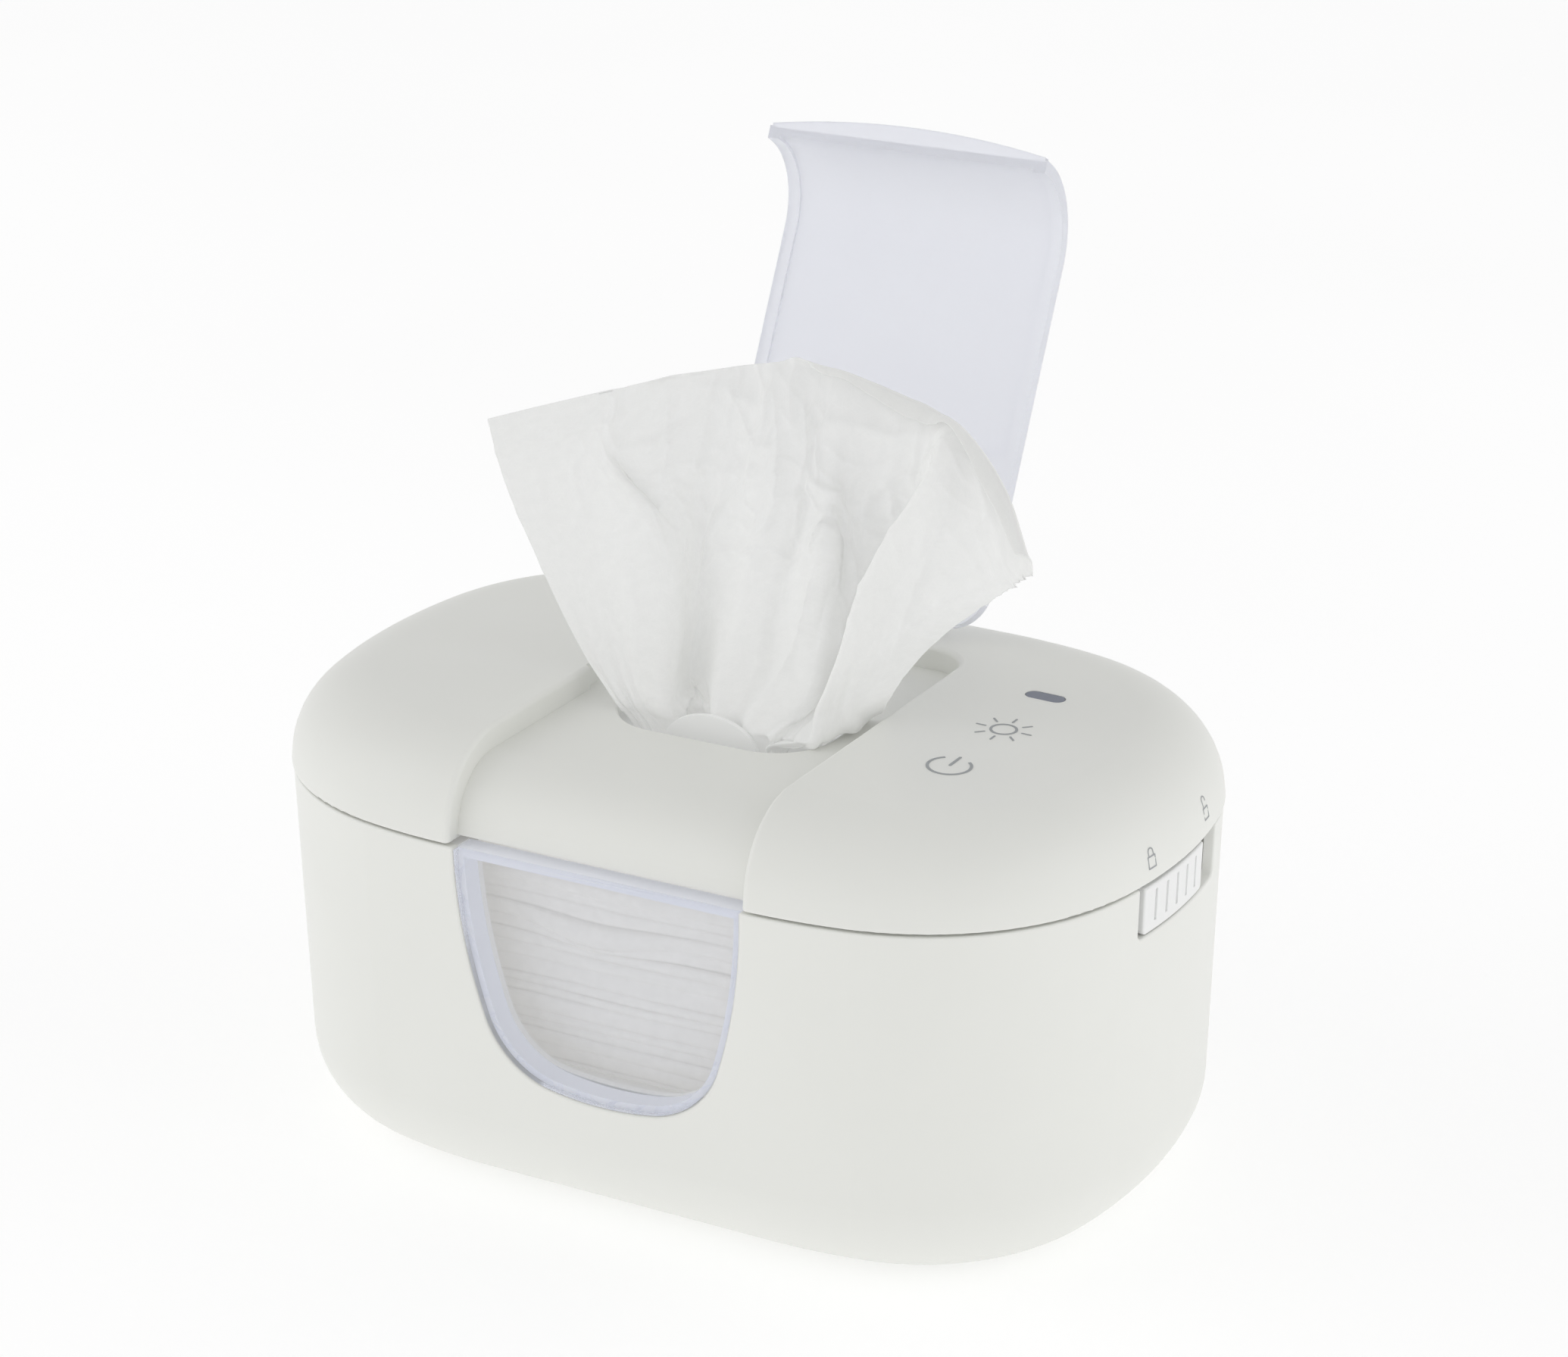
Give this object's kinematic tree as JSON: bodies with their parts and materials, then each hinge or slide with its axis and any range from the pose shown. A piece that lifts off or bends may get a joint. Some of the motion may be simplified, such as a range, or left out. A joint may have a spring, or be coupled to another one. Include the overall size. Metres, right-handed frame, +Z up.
{
  "type": "wipe warmer",
  "caption": "Rounded countertop wipe warmer with a heated tank behind a curved front window, a locking hinged cover and a flip-up lid over a wipe mouth.",
  "frame": {"origin": "on the surface the feet stand on, below the middle of the tub's outline", "axes": "+X along the long side towards the slide lock, +Y from the window towards the back, +Z up"},
  "size_m": [0.2137, 0.1527, 0.2162],
  "materials": {
    "shell": "satin",
    "clear": "polished",
    "frosted": "frosted",
    "lid": "frosted",
    "tank": "satin",
    "dark_plastic": "satin",
    "soft": "matte",
    "feet": "matte",
    "seal": "matte",
    "slider": "satin",
    "steel": "brushed",
    "brass": "plated",
    "aluminium": "satin",
    "film": "satin",
    "insulation": "fibrous",
    "board": "satin",
    "components": "satin",
    "led": "polished",
    "lens": "satin",
    "wire": "satin",
    "wipe": "soft",
    "wipe_stack": "damp"
  },
  "bodies": {
    "tub": {"tub_shell": "shell", "base_cover": "shell", "rubber_feet": "feet", "base_screws": "steel", "window_pane": "clear", "window_bezel": "frosted", "inner_tank": "tank", "tank_screws": "steel", "heater_plate": "aluminium", "heating_film": "film", "insulation_pad": "insulation", "heater_tray": "tank", "tray_screws": "steel", "thermal_fuse": "steel", "temperature_sensor": "components", "control_board": "board", "board_components": "components", "board_screws": "steel", "power_inlet": "dark_plastic", "inlet_leads": "wire", "heater_leads": "wire", "night_light_board": "board", "night_light_leds": "led", "light_leads": "wire", "contact_block": "dark_plastic", "contact_pins": "brass", "contact_leads": "wire", "lock_keeper": "tank", "lock_spring": "steel", "cover_hinge_pin": "steel", "wipe_stack": "wipe_stack"},
    "lock": {"lock_slider": "slider"},
    "cover": {"top_cover": "shell", "cover_liner": "tank", "liner_screws": "steel", "cover_seal": "seal", "cover_catch": "tank", "wipe_guide": "soft", "touch_board": "board", "touch_board_screws": "steel", "touch_pads": "components", "status_led": "led", "indicator_lens": "lens", "contact_pads": "brass", "cover_harness": "wire", "flip_hinge_pin": "steel", "pulled_wipe": "wipe"},
    "lid": {"flip_lid": "lid"}
  },
  "joints": [
    {"name": "cover_hinge", "type": "hinge", "parent": "tub", "child": "cover", "pos_m": [-0.1065, 0, 0.0861], "axis": [0, -1, 0], "range_deg": [0, 100]},
    {"name": "flip_hinge", "type": "hinge", "parent": "cover", "child": "lid", "pos_m": [0, 0.0406, 0.1066], "axis": [1, 0, 0], "range_deg": [0, 116.5], "deforming": ["pulled_wipe"]},
    {"name": "lock_slide", "type": "hinge", "parent": "tub", "child": "lock", "pos_m": [-0.01509, 0, 0.08], "axis": [0, 0, 1], "range_deg": [0, 4]}
  ]
}
